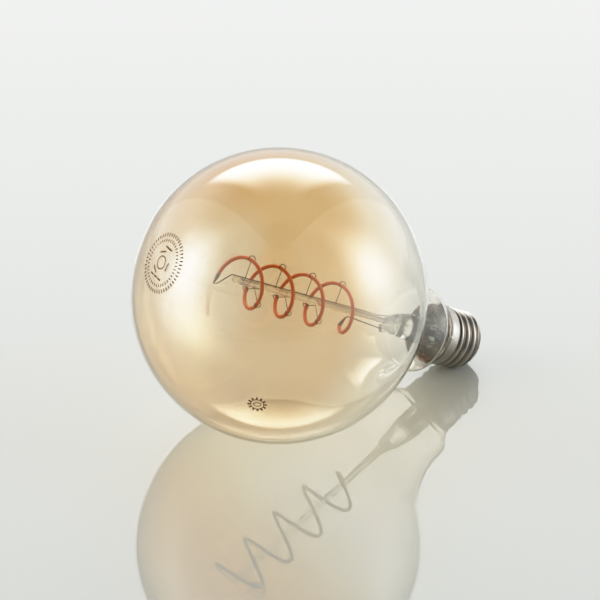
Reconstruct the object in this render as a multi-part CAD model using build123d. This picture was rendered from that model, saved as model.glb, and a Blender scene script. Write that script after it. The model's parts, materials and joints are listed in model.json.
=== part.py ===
from build123d import *
import math
import os

# Filament globe light bulb with an E27 screw cap, lying on its side. Millimetres.
#
# Each piece is built in the bulb's own frame: the origin is the centre of the globe, X runs along
# the axis towards the cap, and Z is up across it. At the end every piece is laid down together:
# the globe and the last crest of the thread rest on Z = 0, with the cap towards +X.

# ---- envelope -------------------------------------------------------------------------------
GLOBE_RADIUS = 62.5
GLASS_WALL = 0.8
NECK_RADIUS = 18.7
NECK_BLEND = 32.5
SHOULDER_BLEND = 5.0
SHOULDER_SLOPE = 44.0
STUB_RADIUS = 12.35
STUB_END = 93.0

# ---- screw cap (E27) ------------------------------------------------------------------------
RIM_X = 88.3
RIM_BEAD_RADIUS = 13.35
RIM_BEAD_LENGTH = 0.7
SKIRT_RADIUS = 13.15
SKIRT_FLARE_RADIUS = 13.25
SKIRT_FLARE_END = 91.2
SKIRT_END = 94.6
SHELL_WALL = 0.3
THREAD_PITCH = 3.629
THREAD_CREST = 13.05
THREAD_ROOT = 12.2
THREAD_WIRE = 1.025
THREAD_SINK = 0.03
THREAD_START = 95.4
THREAD_END = 107.9
LAST_CREST_X = 105.4
NOSE_START = 107.2
RUN_OUT_START = (106.0, 13.2)
RUN_OUT_END = (107.6, 12.0)
NOSE_END = 110.2
NOSE_RADIUS = 10.3
NOSE_HOLE = 9.6
CAP_END = 115.5
SIDE_SOLDER_X = 90.0
SIDE_SOLDER_RADIUS = 0.9
SIDE_SOLDER_TURN = 74.0
SHELL_WIRE_RADIUS = 0.15
SHELL_WIRE_RUN = 12.6
SHELL_WIRE_BACK = (93.5, 11.3)

# ---- insulator and centre contact -----------------------------------------------------------
INSULATOR_BACK = 107.6
INSULATOR_COLLAR = 9.4
CONTACT_SEAT_X = 114.2
CONTACT_RADIUS = 5.4
CONTACT_THICKNESS = 0.6
CONTACT_CHAMFER = 0.5
CONTACT_STEP = 0.8
INSULATOR_RISE = 0.4
RIVET_RADIUS = 0.9
SOLDER_RADIUS = 2.6
SOLDER_FLAT = 1.0

# ---- stem -----------------------------------------------------------------------------------
TUBE_RADIUS = 5.75
TUBE_WALL = 1.0
TUBE_START = 75.0
FLARE_START = 85.0
FLARE_LIP = 0.8
FLARE_EDGE = 0.3
EXHAUST_RADIUS = 1.6
EXHAUST_WALL = 0.5
EXHAUST_END = 97.0
PINCH_START = 61.5
PINCH_WAIST = 68.0
PINCH_TIP_SIZE = (7.0, 4.4)
PINCH_TIP_OFFSET = -1.7
PINCH_WAIST_SIZE = (9.6, 6.6)
BLOW_HOLE_RADIUS = 1.1
BLOW_HOLE_X = 69.5
LOFT_EASE = 0.001

# ---- mount held by the stem: rod, wires, filament, hooks ------------------------------------
LEAN_PIVOT = 66.0
LEAN_UP = 0.77
LEAN_BACK = 1.97
ROD_RADIUS = 1.4
ROD_END = -24.6
ROD_BUTT = 66.5
ROD_BEAD_RADIUS = 1.6
WIRE_RADIUS = 0.25
WIRE_TAIL = 76.5
FAR_WIRE_OFFSET = (0.72, 1.76)
FAR_WIRE_SPREAD = 1.2
NEAR_WIRE_OFFSET = (-0.3, -4.2)
NEAR_WIRE_SPREAD = 1.4
WIRE_BEND = 0.9
FAR_WIRE_SETTLES = 3.0
FAR_WIRE_TURNS = 1.0
FAR_WIRE_REACH = (-0.6, -3.0, 1.2)
NEAR_WIRE_SETTLES = 1.0

# ---- filament -------------------------------------------------------------------------------
COIL_RADIUS = 10.0
COIL_PITCH = 17.06
COIL_TOP_X = -19.94
COIL_FROM = -103.0
COIL_TO = 1270.0
FILAMENT_RADIUS = 0.8
TERMINAL_RADIUS = 0.42
TERMINAL_LENGTH = 4.2
NEAR_TERMINAL_WAY = (2.6, 1.4, 3.9)

# ---- support hooks --------------------------------------------------------------------------
HOOK_COUNT = 10
HOOK_STEP = 120.0
HOOK_WIRE = 0.2
HOOK_RING = 1.06
HOOK_RAKE = 2.1
HOOK_DEPTH = 0.3

# ---- driver ---------------------------------------------------------------------------------
BOARD_X = 94.4
BOARD_RADIUS = 11.6
BOARD_THICKNESS = 1.0
BOARD_TURN = -27.0
BOARD_HOLE_GAP = 0.5
LEAD_SINK = 0.2
SLEEVE_RADIUS = 11.8
SLEEVE_WALL = 0.7
SLEEVE_END = 106.0
SLEEVE_HOLE = 1.2
CEMENT_START = 89.3
CEMENT_END = 94.0
CEMENT_LIP = 11.0

# Parts on the face of the board: middle (y, z), then height, width along y and z, and edge.
FACE_PARTS = {
    "driver_chip": ((-3.6, -2.1), (1.2, 2.6, 5.4), 0.3),
    "wireless_shield": ((5.4, 1.2), (1.1, 6.0, 7.6), 0.4),
    "bridge_rectifier": ((1.0, -7.6), (1.1, 4.6, 3.8), 0.2),
}
RESISTOR_SIZE = (0.5, 0.8, 1.6)
RESISTOR_Z = 6.6
RESISTOR_ROW = (-4.5, -2.7, -0.9)

# Parts behind the board: middle (y, z), radius and length of the round ones.
CAPACITOR_AT = (5.2, 4.0)
CAPACITOR_RADIUS = 3.15
CAPACITOR_LENGTH = 8.6
CAPACITOR_EDGE = 0.5
INDUCTOR_AT = (-5.0, 4.4)
INDUCTOR_RADIUS = 2.6
INDUCTOR_LENGTH = 7.0
INDUCTOR_FLANGE = 0.9
INDUCTOR_CORE = 1.3
INDUCTOR_WINDING = 2.39
FUSE_AT = (-7.5, -2.5)
FUSE_RADIUS = 1.3
FUSE_LENGTH = 6.2
WIRELESS_BOARD_AT = (1.0, -5.2)
WIRELESS_BOARD_SIZE = (8.6, 13.0, 0.8)
WIRELESS_MODULE_AT = (1.0, -6.6)
WIRELESS_MODULE_SIZE = (6.6, 9.0, 2.0)
WIRELESS_MODULE_GAP = 1.0
CONTACT_WIRE_AT = (-1.5, 2.6)
CONTACT_WIRE_RUN = 5.0
CONTACT_WIRE_DROP = 2.5
CONTACT_WIRE_BEND = 1.0

# ---- sizes that follow from the ones above --------------------------------------------------
BOARD_BACK = BOARD_X + BOARD_THICKNESS
SKIRT_BORE = SKIRT_RADIUS - SHELL_WALL
THREAD_BORE = THREAD_ROOT - SHELL_WALL
STUB_BORE = STUB_RADIUS - GLASS_WALL
NECK_X = math.sqrt((GLOBE_RADIUS + NECK_BLEND) ** 2 - (NECK_RADIUS + NECK_BLEND) ** 2)
THREAD_MIDDLE = THREAD_CREST - THREAD_WIRE
REACH = math.hypot(LAST_CREST_X, THREAD_MIDDLE)
DIP = math.asin((GLOBE_RADIUS - THREAD_WIRE) / REACH)
TILT = math.degrees(DIP - math.atan2(THREAD_MIDDLE, LAST_CREST_X))

AXIS_TO_X = Rot(0, 90, 0)
LEANING = Pos(LEAN_PIVOT, 0, 0) * Rot(0, LEAN_UP, -LEAN_BACK) * Pos(-LEAN_PIVOT, 0, 0)


# ---- shape helpers --------------------------------------------------------------------------
def turned(*points):
    """Solid of revolution about the X axis from the corners (x, radius) of its half section."""
    outline = Polyline(*[(x, radius) for x, radius in points], close=True)
    return revolve(make_face(outline), Axis.X, 360)


def rod_along_x(radius, start, end, y=0.0, z=0.0):
    """Round bar parallel to the X axis."""
    face = Plane(origin=(start, y, z), z_dir=(1, 0, 0)) * Circle(radius)
    return extrude(face, end - start)


def block(start, middle, size, edge=0.0):
    """Box that starts at x = start and is centred on middle (y, z), with rounded long edges."""
    solid = Pos(start + size[0] / 2, *middle) * Box(*size)
    return fillet(solid.edges().filter_by(Axis.X), edge) if edge else solid


def wire(points, radius, bend):
    """Round wire along straight runs joined by arcs."""
    path = FilletPolyline(*points, radius=bend) if len(points) > 2 else Line(*points)
    return sweep(Plane(origin=path @ 0, z_dir=path % 0) * Circle(radius), path=path)


def coil_point(angle):
    """Point of the filament's helix: 0 degrees is on top, and it turns towards -Y first."""
    turn = math.radians(angle)
    x = COIL_TOP_X + COIL_PITCH * angle / 360
    return Vector(x, -COIL_RADIUS * math.sin(turn), COIL_RADIUS * math.cos(turn))


def coil_direction(angle):
    """Unit tangent of the filament's helix, towards the cap."""
    turn = math.radians(angle)
    along = COIL_PITCH / (2 * math.pi)
    return Vector(along, -COIL_RADIUS * math.cos(turn), -COIL_RADIUS * math.sin(turn)).normalized()


# ---- envelope -------------------------------------------------------------------------------
def envelope_section(inset):
    """Half section of the envelope, moved inwards by the inset, as an open outline."""
    ball = GLOBE_RADIUS - inset
    blend = NECK_BLEND + inset
    blend_centre = Vector(NECK_X, NECK_RADIUS + NECK_BLEND)
    meet = blend_centre * (GLOBE_RADIUS / (GLOBE_RADIUS + NECK_BLEND)) * (ball / GLOBE_RADIUS)
    half = math.radians(45 + math.degrees(math.atan2(meet.Y, meet.X)) / 2)
    side = Vector(ball * math.cos(half * 1.2), ball * math.sin(half * 1.2))
    waist_turn = math.atan2(blend_centre.Y - meet.Y, blend_centre.X - meet.X) / 2 + math.pi / 4
    waist = blend_centre - Vector(math.cos(waist_turn), math.sin(waist_turn)) * blend
    neck = Vector(NECK_X, NECK_RADIUS - inset)
    bend = SHOULDER_BLEND - inset
    slope = math.radians(SHOULDER_SLOPE)
    shoulder_centre = Vector(NECK_X, NECK_RADIUS - SHOULDER_BLEND)
    brow = shoulder_centre + Vector(math.sin(slope / 2), math.cos(slope / 2)) * bend
    drop = shoulder_centre + Vector(math.sin(slope), math.cos(slope)) * bend
    stub = STUB_RADIUS - inset
    mouth = Vector(drop.X + (drop.Y - stub) / math.tan(slope), stub)
    return [
        ThreePointArc((-ball, 0), side, meet),
        ThreePointArc(meet, waist, neck),
        ThreePointArc(neck, brow, drop),
        Line(drop, mouth),
        Line(mouth, (STUB_END, stub)),
    ]


def globe_envelope():
    outer = envelope_section(0.0)
    inner = envelope_section(GLASS_WALL)
    pole = Line((-GLOBE_RADIUS, 0), (GLASS_WALL - GLOBE_RADIUS, 0))
    lip = Line((STUB_END, STUB_RADIUS), (STUB_END, STUB_BORE))
    return revolve(make_face(Wire(outer + inner + [pole, lip])), Axis.X, 360)


# ---- stem -----------------------------------------------------------------------------------
def stem_flare():
    """Tube that opens into a trumpet and meets the bore of the neck."""
    bore = TUBE_RADIUS - TUBE_WALL
    lip_start = STUB_END - FLARE_LIP
    outer_bend = STUB_BORE - TUBE_RADIUS
    half = math.sqrt(0.5)
    rise = lip_start - FLARE_START
    outer_mid = (FLARE_START + rise * half, STUB_BORE - outer_bend * half)
    inner_rise = STUB_END - FLARE_START
    inner_edge = STUB_BORE - FLARE_EDGE
    inner_mid = (FLARE_START + inner_rise * half, inner_edge - (inner_edge - bore) * half)
    edges = [
        Line((TUBE_START, bore), (TUBE_START, TUBE_RADIUS)),
        Line((TUBE_START, TUBE_RADIUS), (FLARE_START, TUBE_RADIUS)),
        ThreePointArc((FLARE_START, TUBE_RADIUS), outer_mid, (lip_start, STUB_BORE)),
        Line((lip_start, STUB_BORE), (STUB_END, STUB_BORE)),
        Line((STUB_END, STUB_BORE), (STUB_END, inner_edge)),
        ThreePointArc((STUB_END, inner_edge), inner_mid, (FLARE_START, bore)),
        Line((FLARE_START, bore), (TUBE_START, bore)),
    ]
    return revolve(make_face(Wire(edges)), Axis.X, 360)


def pinch_seal(*sealed_in):
    """Pressed glass between the tube and the rod, with the blow hole into its side."""
    tip = Plane(origin=(PINCH_START, 0, PINCH_TIP_OFFSET), x_dir=(0, 0, 1), z_dir=(1, 0, 0))
    waist = Plane(origin=(PINCH_WAIST, 0, 0), x_dir=(0, 0, 1), z_dir=(1, 0, 0))
    root = Plane(origin=(TUBE_START, 0, 0), x_dir=(0, 0, 1), z_dir=(1, 0, 0))
    sections = [
        tip * Ellipse(PINCH_TIP_SIZE[0] / 2, PINCH_TIP_SIZE[1] / 2),
        waist * Ellipse(PINCH_WAIST_SIZE[0] / 2, PINCH_WAIST_SIZE[1] / 2),
        root * Ellipse(TUBE_RADIUS, TUBE_RADIUS - LOFT_EASE),
    ]
    glass = loft(sections)
    passage = rod_along_x(BLOW_HOLE_RADIUS, BLOW_HOLE_X, TUBE_START + 1)
    side_hole = Plane(origin=(BLOW_HOLE_X, 0, 0), z_dir=(0, -1, 0)) * Circle(BLOW_HOLE_RADIUS)
    glass -= passage + extrude(side_hole, TUBE_RADIUS)
    for piece in sealed_in:
        glass -= piece
    return glass


def exhaust_tube():
    """Thin tube the bulb was pumped through, tipped off behind the flare."""
    bore = EXHAUST_RADIUS - EXHAUST_WALL
    tip = EXHAUST_END - EXHAUST_RADIUS
    return turned(
        (TUBE_START, bore), (TUBE_START, EXHAUST_RADIUS), (tip, EXHAUST_RADIUS),
        (EXHAUST_END, EXHAUST_WALL), (EXHAUST_END, 0), (tip, 0), (tip, bore),
    )


def glass_rod():
    """Centre rod with the thickened bead at its free end."""
    bar = rod_along_x(ROD_RADIUS, ROD_END, ROD_BUTT)
    bead = Pos(ROD_END + ROD_BEAD_RADIUS, 0, 0) * Sphere(ROD_BEAD_RADIUS)
    return LEANING * (bar + bead)


# ---- filament and what holds it -------------------------------------------------------------
def filament():
    """Flexible LED strand wound into a coil round the rod."""
    height = COIL_PITCH * (COIL_TO - COIL_FROM) / 360
    path = Helix(COIL_PITCH, height, COIL_RADIUS)
    start = Pos(coil_point(COIL_FROM).X, 0, 0) * Rot(COIL_FROM - 180, 0, 0) * AXIS_TO_X
    section = Plane(origin=path @ 0, z_dir=path % 0) * Circle(FILAMENT_RADIUS)
    strand = sweep(section, path=path, is_frenet=True)
    return LEANING * (start * strand)


FAR_JOINT = coil_point(COIL_FROM) - coil_direction(COIL_FROM) * TERMINAL_LENGTH
NEAR_END = coil_point(COIL_TO)
NEAR_JOINT = NEAR_END + Vector(*NEAR_TERMINAL_WAY).normalized() * TERMINAL_LENGTH


def terminal(start, joint):
    """Crimped metal end of the filament."""
    return LEANING * wire([start, joint], TERMINAL_RADIUS, 0)


def far_lead():
    """Wire laid along the rod, then out past its end to the far terminal."""
    y, z = FAR_WIRE_OFFSET
    points = [
        (WIRE_TAIL, y, z + FAR_WIRE_SPREAD),
        (ROD_BUTT, y, z + FAR_WIRE_SPREAD),
        (PINCH_START - FAR_WIRE_SETTLES, y, z),
        (ROD_END - FAR_WIRE_TURNS, y, z),
        tuple(FAR_JOINT + Vector(*FAR_WIRE_REACH)),
        tuple(FAR_JOINT),
    ]
    return LEANING * wire(points, WIRE_RADIUS, WIRE_BEND)


def near_lead():
    """Short wire from the lower edge of the pinch to the near terminal."""
    y, z = NEAR_WIRE_OFFSET
    points = [
        (WIRE_TAIL, y, z + NEAR_WIRE_SPREAD),
        (ROD_BUTT, y, z),
        (PINCH_START - NEAR_WIRE_SETTLES, y, z),
        tuple(NEAR_JOINT),
    ]
    return LEANING * wire(points, WIRE_RADIUS, WIRE_BEND)


def support_hook(index, rod):
    """Wire stalk set in the rod, with a ring round the filament."""
    angle = HOOK_STEP * index
    centre = coil_point(angle)
    outward = (centre - Vector(centre.X, 0, 0)).normalized()
    foot = Vector(centre.X + HOOK_RAKE, 0, 0) + outward * (ROD_RADIUS - HOOK_DEPTH)
    aim = (centre - foot).normalized()
    stalk = wire([foot, centre - aim * HOOK_RING], HOOK_WIRE, 0)
    ring = Plane(origin=centre, z_dir=coil_direction(angle)) * Torus(HOOK_RING, HOOK_WIRE)
    return LEANING * (stalk + ring) - rod


# ---- screw cap ------------------------------------------------------------------------------
def shell_inside(start_x):
    """Corners of the shell's inner surface from start_x to the nose hole."""
    cone_end = NOSE_END - SHELL_WALL
    return [
        (start_x, SKIRT_BORE),
        (SKIRT_END - SHELL_WALL, SKIRT_BORE),
        (SKIRT_END - SHELL_WALL + SKIRT_BORE - THREAD_BORE, THREAD_BORE),
        (NOSE_START, THREAD_BORE),
        (cone_end, NOSE_RADIUS - SHELL_WALL),
        (cone_end, NOSE_HOLE),
        (NOSE_END, NOSE_HOLE),
    ]


def screw_shell(shell_lead):
    """Thin nickel-plated shell: rim bead, plain skirt, rolled thread and turned-in nose."""
    skin = turned(
        *shell_inside(RIM_X),
        (NOSE_END, NOSE_RADIUS),
        (NOSE_START, THREAD_ROOT),
        (SKIRT_END + SKIRT_RADIUS - THREAD_ROOT, THREAD_ROOT),
        (SKIRT_END, SKIRT_RADIUS),
        (SKIRT_FLARE_END, SKIRT_RADIUS),
        (RIM_X + RIM_BEAD_LENGTH, SKIRT_FLARE_RADIUS),
        (RIM_X + RIM_BEAD_LENGTH, RIM_BEAD_RADIUS),
        (RIM_X, RIM_BEAD_RADIUS),
    )
    path = Helix(THREAD_PITCH, THREAD_END - THREAD_START, THREAD_MIDDLE)
    half = math.sqrt(THREAD_WIRE ** 2 - THREAD_SINK ** 2)
    crest = [
        ThreePointArc((THREAD_SINK, -half), (THREAD_WIRE, 0), (THREAD_SINK, half)),
        Line((THREAD_SINK, half), (THREAD_SINK, -half)),
    ]
    section = Plane(origin=path @ 0, x_dir=(1, 0, 0), z_dir=path % 0) * make_face(Wire(crest))
    phase = 360 * (THREAD_START - LAST_CREST_X) / THREAD_PITCH
    ridge = sweep(section, path=path, is_frenet=True)
    ridge = Pos(THREAD_START, 0, 0) * Rot(phase, 0, 0) * AXIS_TO_X * ridge
    run_out = turned(
        RUN_OUT_START, RUN_OUT_END, (NOSE_END, RUN_OUT_END[1]), (NOSE_END, 2 * THREAD_CREST),
        (RUN_OUT_START[0], 2 * THREAD_CREST),
    )
    return skin + (ridge - run_out) - shell_lead


def basing_cement(shell_lead):
    """Ring of cement between the neck and the shell, squeezed out behind the neck."""
    return turned(
        (CEMENT_START, STUB_RADIUS), (CEMENT_START, SKIRT_BORE), (CEMENT_END, SKIRT_BORE),
        (CEMENT_END, CEMENT_LIP), (STUB_END, CEMENT_LIP), (STUB_END, STUB_RADIUS),
    ) - shell_lead


def shell_wire():
    """Wire from the board through the cement and a pin hole in the skirt into the side solder."""
    back_x, back_radius = SHELL_WIRE_BACK
    points = [
        (BOARD_X, 0, back_radius),
        (back_x, 0, back_radius),
        (back_x, 0, SHELL_WIRE_RUN),
        (SIDE_SOLDER_X, 0, SHELL_WIRE_RUN),
        (SIDE_SOLDER_X, 0, SKIRT_FLARE_RADIUS + SIDE_SOLDER_RADIUS / 2),
    ]
    return Rot(SIDE_SOLDER_TURN, 0, 0) * wire(points, SHELL_WIRE_RADIUS, 1.5 * SHELL_WIRE_RADIUS)


def side_solder(shell_lead):
    """Bead of solder that joins the shell wire to the outside of the skirt."""
    bead = Pos(SIDE_SOLDER_X, 0, SKIRT_RADIUS) * Sphere(SIDE_SOLDER_RADIUS)
    flare_start = RIM_X + RIM_BEAD_LENGTH
    collar = rod_along_x(RIM_BEAD_RADIUS, RIM_X, flare_start)
    skirt = turned(
        (flare_start, 0), (flare_start, SKIRT_FLARE_RADIUS), (SKIRT_FLARE_END, SKIRT_RADIUS),
        (SKIRT_END, SKIRT_RADIUS), (SKIRT_END, 0),
    )
    return Rot(SIDE_SOLDER_TURN, 0, 0) * (bead - skirt - collar) - shell_lead


def cap_insulator():
    """Black glass plug that fills the nose and carries the centre contact."""
    slope = (THREAD_BORE - NOSE_RADIUS + SHELL_WALL) / (NOSE_END - SHELL_WALL - NOSE_START)
    back_radius = THREAD_BORE - slope * (INSULATOR_BACK - NOSE_START)
    return turned(
        (INSULATOR_BACK, RIVET_RADIUS),
        (INSULATOR_BACK, back_radius),
        *shell_inside(RIM_X)[4:],
        (NOSE_END + INSULATOR_RISE, INSULATOR_COLLAR),
        (CONTACT_SEAT_X, CONTACT_RADIUS + CONTACT_STEP),
        (CONTACT_SEAT_X, RIVET_RADIUS),
    )


def centre_contact():
    """Contact plate and the rivet that holds it to the insulator."""
    return turned(
        (INSULATOR_BACK, 0), (INSULATOR_BACK, RIVET_RADIUS), (CONTACT_SEAT_X, RIVET_RADIUS),
        (CONTACT_SEAT_X, CONTACT_RADIUS), (CONTACT_SEAT_X + CONTACT_THICKNESS / 2, CONTACT_RADIUS),
        (CONTACT_SEAT_X + CONTACT_THICKNESS, CONTACT_RADIUS - CONTACT_CHAMFER),
        (CONTACT_SEAT_X + CONTACT_THICKNESS, 0),
    )


def contact_solder():
    """Drop of solder on the centre contact, pressed flat where the lampholder touches it."""
    base = CONTACT_SEAT_X + CONTACT_THICKNESS
    height = CAP_END - base
    ball = (SOLDER_RADIUS ** 2 + height ** 2) / (2 * height)
    middle_x = CAP_END - ball
    flat_x = middle_x + math.sqrt(ball ** 2 - SOLDER_FLAT ** 2)
    half = (math.asin(SOLDER_RADIUS / ball) + math.asin(SOLDER_FLAT / ball)) / 2
    middle = (middle_x + ball * math.cos(half), ball * math.sin(half))
    outline = [
        Line((base, 0), (base, SOLDER_RADIUS)),
        ThreePointArc((base, SOLDER_RADIUS), middle, (flat_x, SOLDER_FLAT)),
        Line((flat_x, SOLDER_FLAT), (flat_x, 0)),
        Line((flat_x, 0), (base, 0)),
    ]
    return revolve(make_face(Wire(outline)), Axis.X, 360)


# ---- driver in the cap ----------------------------------------------------------------------
def driver_board():
    """Round board across the mouth of the sleeve, with a hole for the exhaust tip."""
    disc = rod_along_x(BOARD_RADIUS, BOARD_X, BOARD_BACK)
    return disc - rod_along_x(EXHAUST_RADIUS + BOARD_HOLE_GAP, BOARD_X, BOARD_BACK)


def driver_sleeve():
    """Insulating cup between the driver and the shell."""
    bore = SLEEVE_RADIUS - SLEEVE_WALL
    floor = SLEEVE_END - SLEEVE_WALL
    return turned(
        (BOARD_BACK, bore), (BOARD_BACK, SLEEVE_RADIUS), (SLEEVE_END, SLEEVE_RADIUS),
        (SLEEVE_END, SLEEVE_HOLE), (floor, SLEEVE_HOLE), (floor, bore),
    )


def front_parts():
    """Parts on the face of the board that looks into the neck."""
    height = RESISTOR_SIZE[0]
    row = [block(BOARD_X - height, (y, RESISTOR_Z), RESISTOR_SIZE) for y in RESISTOR_ROW]
    parts = {"chip_resistors": Compound(children=row)}
    for name, (middle, size, edge) in FACE_PARTS.items():
        parts[name] = block(BOARD_X - size[0], middle, size, edge)
    return {name: Rot(BOARD_TURN, 0, 0) * part for name, part in parts.items()}


def bar_behind(radius, length, middle, start=BOARD_BACK):
    """Round part that stands on the back of the board."""
    return rod_along_x(radius, start, start + length, *middle)


def inductor_core():
    """Ferrite drum core with two flanges."""
    far_flange = BOARD_BACK + INDUCTOR_LENGTH - INDUCTOR_FLANGE
    core = bar_behind(INDUCTOR_CORE, INDUCTOR_LENGTH, INDUCTOR_AT)
    for start in (BOARD_BACK, far_flange):
        core += bar_behind(INDUCTOR_RADIUS, INDUCTOR_FLANGE, INDUCTOR_AT, start)
    return core


def inductor_winding():
    """Copper winding between the flanges of the drum core."""
    start = BOARD_BACK + INDUCTOR_FLANGE
    length = INDUCTOR_LENGTH - 2 * INDUCTOR_FLANGE
    outer = bar_behind(INDUCTOR_WINDING, length, INDUCTOR_AT, start)
    return outer - bar_behind(INDUCTOR_CORE, length, INDUCTOR_AT, start)


def rear_parts():
    """Taller parts on the face of the board that looks into the cap."""
    can = bar_behind(CAPACITOR_RADIUS, CAPACITOR_LENGTH, CAPACITOR_AT)
    module_start = BOARD_BACK + WIRELESS_MODULE_GAP
    return {
        "smoothing_capacitor": fillet(can.edges().group_by(Axis.X)[-1], CAPACITOR_EDGE),
        "inductor_core": inductor_core(),
        "inductor_winding": inductor_winding(),
        "fusible_resistor": bar_behind(FUSE_RADIUS, FUSE_LENGTH, FUSE_AT),
        "wireless_board": block(BOARD_BACK, WIRELESS_BOARD_AT, WIRELESS_BOARD_SIZE),
        "wireless_module": block(module_start, WIRELESS_MODULE_AT, WIRELESS_MODULE_SIZE),
    }


def outer_leads():
    """The two wires from the back of the pinch down the tube to the board."""
    tails = {
        "outer_lead_far": (FAR_WIRE_OFFSET[0], FAR_WIRE_OFFSET[1] + FAR_WIRE_SPREAD),
        "outer_lead_near": (NEAR_WIRE_OFFSET[0], NEAR_WIRE_OFFSET[1] + NEAR_WIRE_SPREAD),
    }
    behind = rod_along_x(BOARD_RADIUS, BOARD_X, BOARD_BACK)
    return {
        name: LEANING * wire([(WIRE_TAIL, y, z), (BOARD_X + LEAD_SINK, y, z)], WIRE_RADIUS, 0) - behind
        for name, (y, z) in tails.items()
    }


def contact_wire():
    """Wire from the board through the bottom of the sleeve to the rivet."""
    points = [
        (BOARD_BACK, *CONTACT_WIRE_AT),
        (BOARD_BACK + CONTACT_WIRE_RUN, *CONTACT_WIRE_AT),
        (SLEEVE_END - CONTACT_WIRE_DROP, 0, 0),
        (INSULATOR_BACK, 0, 0),
    ]
    return wire(points, WIRE_RADIUS, CONTACT_WIRE_BEND)


# ---- assembly -------------------------------------------------------------------------------
def build_pieces():
    rod = glass_rod()
    strand = filament()
    far_end = terminal(coil_point(COIL_FROM), FAR_JOINT)
    near_end = terminal(NEAR_END, NEAR_JOINT) - strand
    far = far_lead() - far_end
    near = near_lead() - near_end
    shell_lead = shell_wire()
    pieces = {
        "globe_envelope": globe_envelope(),
        "stem_flare": stem_flare(),
        "pinch_seal": pinch_seal(rod, far, near),
        "exhaust_tube": exhaust_tube(),
        "glass_rod": rod,
        "far_lead_wire": far,
        "near_lead_wire": near,
        "led_filament": strand,
        "far_terminal": far_end,
        "near_terminal": near_end,
        "screw_shell": screw_shell(shell_lead),
        "basing_cement": basing_cement(shell_lead),
        "shell_wire": shell_lead,
        "side_solder": side_solder(shell_lead),
        "cap_insulator": cap_insulator(),
        "centre_contact": centre_contact(),
        "contact_solder": contact_solder(),
        "driver_board": driver_board(),
        "driver_sleeve": driver_sleeve(),
        "contact_wire": contact_wire(),
    }
    for index in range(HOOK_COUNT):
        pieces[f"support_hook_{index + 1:02d}"] = support_hook(index, rod)
    pieces.update(outer_leads())
    pieces.update(front_parts())
    pieces.update(rear_parts())
    return pieces


def lay_down(pieces):
    """Tilt the bulb onto the surface and centre its bounding box over the origin."""
    lying = Rot(0, TILT, 0)
    cap = [lying * pieces[name] for name in ("screw_shell", "cap_insulator", "centre_contact")]
    far_side = max(piece.bounding_box().max.X for piece in cap)
    place = Pos((GLOBE_RADIUS - far_side) / 2, 0, GLOBE_RADIUS) * lying
    return {name: place * piece for name, piece in pieces.items()}


os.makedirs("parts", exist_ok=True)
for name, piece in lay_down(build_pieces()).items():
    export_step(piece, f"parts/{name}.step")
print(f"tilt {TILT:.2f} degrees")
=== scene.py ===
import json
import math

import bmesh
import bpy
from mathutils import Matrix, Vector


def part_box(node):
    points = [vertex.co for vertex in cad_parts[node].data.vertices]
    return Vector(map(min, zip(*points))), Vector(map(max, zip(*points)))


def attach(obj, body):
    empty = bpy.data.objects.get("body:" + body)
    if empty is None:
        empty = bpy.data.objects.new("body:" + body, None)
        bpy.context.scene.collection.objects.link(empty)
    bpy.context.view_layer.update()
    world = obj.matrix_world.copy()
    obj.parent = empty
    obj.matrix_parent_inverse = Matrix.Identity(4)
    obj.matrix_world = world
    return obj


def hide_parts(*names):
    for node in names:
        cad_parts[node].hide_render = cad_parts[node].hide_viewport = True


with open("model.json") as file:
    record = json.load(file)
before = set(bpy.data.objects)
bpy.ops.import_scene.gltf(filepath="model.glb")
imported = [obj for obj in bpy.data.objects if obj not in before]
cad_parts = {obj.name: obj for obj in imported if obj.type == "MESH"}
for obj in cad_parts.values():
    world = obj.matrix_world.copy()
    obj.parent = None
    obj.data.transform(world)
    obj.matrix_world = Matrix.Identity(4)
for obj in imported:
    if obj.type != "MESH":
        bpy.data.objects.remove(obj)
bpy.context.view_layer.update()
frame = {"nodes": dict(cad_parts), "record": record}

MM = 0.001
scene = bpy.context.scene


# The bulb's own place. It lies on its side: the globe and the last crest of the thread touch the
# surface, and the axis dips towards the base. Pieces are modelled upright to that axis, in
# millimetres from the middle of the globe, and laid into place in their meshes.
mounts = {mount["name"]: mount for mount in frame["record"]["mounts"]}
low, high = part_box("globe_envelope")
globe_radius = (high.z - low.z) / 2 / MM
globe_centre = Vector((low.x + globe_radius * MM, 0.0, globe_radius * MM))
along = Vector(mounts["screw_base"]["axis"]).normalized()
across = Vector((0.0, 1.0, 0.0))
above = along.cross(across)
turned_down = Matrix((along, across, above)).transposed()
laid = Matrix.Translation(globe_centre) @ turned_down.to_4x4() @ Matrix.Scale(MM, 4)


# Camera. A long lens from the front left and above, as someone at a table looks down on it.
VIEW_AZIMUTH = math.radians(-33.02)
VIEW_ELEVATION = math.radians(30.32)
VIEW_ROLL = math.radians(0.37)
VIEW_DISTANCE = 1.675
AIM_RIGHT = 0.00879
AIM_DOWN = 0.00178
LENS = 239.8
CLIP_NEAR = 0.05
CLIP_FAR = 20.0

away = Vector((
    math.sin(VIEW_AZIMUTH) * math.cos(VIEW_ELEVATION),
    -math.cos(VIEW_AZIMUTH) * math.cos(VIEW_ELEVATION),
    math.sin(VIEW_ELEVATION),
))
rightward = Vector((math.cos(VIEW_AZIMUTH), math.sin(VIEW_AZIMUTH), 0.0))
upward = away.cross(rightward)
eye = globe_centre + away * VIEW_DISTANCE
aim = globe_centre + rightward * AIM_RIGHT - upward * AIM_DOWN
camera = bpy.data.objects.new("camera", bpy.data.cameras.new("camera"))
scene.collection.objects.link(camera)
camera.data.lens = LENS
camera.data.clip_start = CLIP_NEAR
camera.data.clip_end = CLIP_FAR
camera.location = eye
look = (aim - eye).to_track_quat("-Z", "Y").to_matrix().to_4x4()
camera.rotation_mode = "QUATERNION"
camera.rotation_quaternion = (look @ Matrix.Rotation(VIEW_ROLL, 4, "Z")).to_quaternion()
scene.camera = camera

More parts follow.
